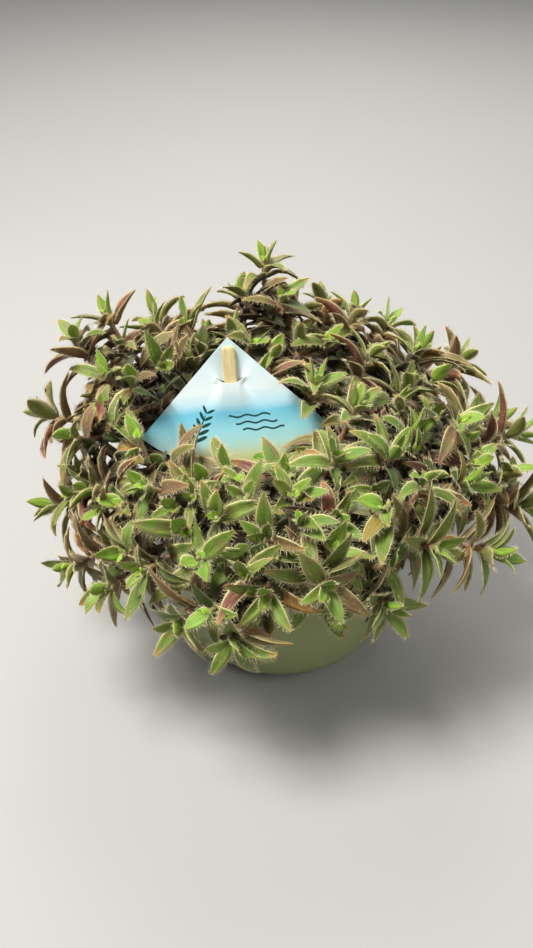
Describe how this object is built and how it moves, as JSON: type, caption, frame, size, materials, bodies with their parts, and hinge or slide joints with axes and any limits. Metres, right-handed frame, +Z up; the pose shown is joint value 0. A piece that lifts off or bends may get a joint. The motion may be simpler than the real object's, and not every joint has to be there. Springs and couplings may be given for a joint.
{
  "type": "potted cyanotis",
  "caption": "Trailing houseplant with keeled, hairy leaves on arching shoots, in a plain tapered pot with soil, and a quarter-round card on a flat stick.",
  "frame": {"origin": "centre of the pot's flat foot, on the surface that the plant stands on", "axes": "+Z up along the pot's axis, -Y the front that the card faces, +X to the right as seen from the front"},
  "size_m": [0.2568, 0.2453, 0.1766],
  "materials": {
    "pot": "satin",
    "soil": "matte",
    "card": "satin",
    "stick": "matte",
    "leaves": "matte"
  },
  "bodies": {
    "root": {"pot": "pot", "soil": "soil", "tag_card": "card", "tag_stick": "stick", "shoot_01": "leaves", "shoot_02": "leaves", "shoot_03": "leaves", "shoot_04": "leaves", "shoot_05": "leaves", "shoot_06": "leaves", "shoot_07": "leaves", "shoot_08": "leaves", "shoot_09": "leaves", "shoot_10": "leaves", "shoot_11": "leaves", "shoot_12": "leaves", "shoot_13": "leaves", "shoot_14": "leaves", "shoot_15": "leaves", "shoot_16": "leaves", "shoot_17": "leaves", "shoot_18": "leaves", "shoot_19": "leaves", "shoot_20": "leaves", "shoot_21": "leaves", "shoot_22": "leaves", "shoot_23": "leaves", "shoot_24": "leaves", "shoot_25": "leaves", "shoot_26": "leaves", "shoot_27": "leaves", "shoot_28": "leaves", "shoot_29": "leaves", "shoot_30": "leaves", "shoot_31": "leaves", "shoot_32": "leaves", "shoot_33": "leaves", "shoot_34": "leaves", "shoot_35": "leaves", "shoot_36": "leaves", "shoot_37": "leaves", "shoot_38": "leaves", "shoot_39": "leaves", "shoot_40": "leaves", "shoot_41": "leaves", "shoot_42": "leaves", "shoot_43": "leaves", "shoot_44": "leaves", "shoot_45": "leaves", "shoot_46": "leaves", "shoot_47": "leaves", "shoot_48": "leaves", "shoot_49": "leaves", "shoot_50": "leaves", "shoot_51": "leaves", "shoot_52": "leaves", "shoot_53": "leaves", "shoot_54": "leaves", "shoot_55": "leaves", "shoot_56": "leaves"}
  },
  "joints": []
}
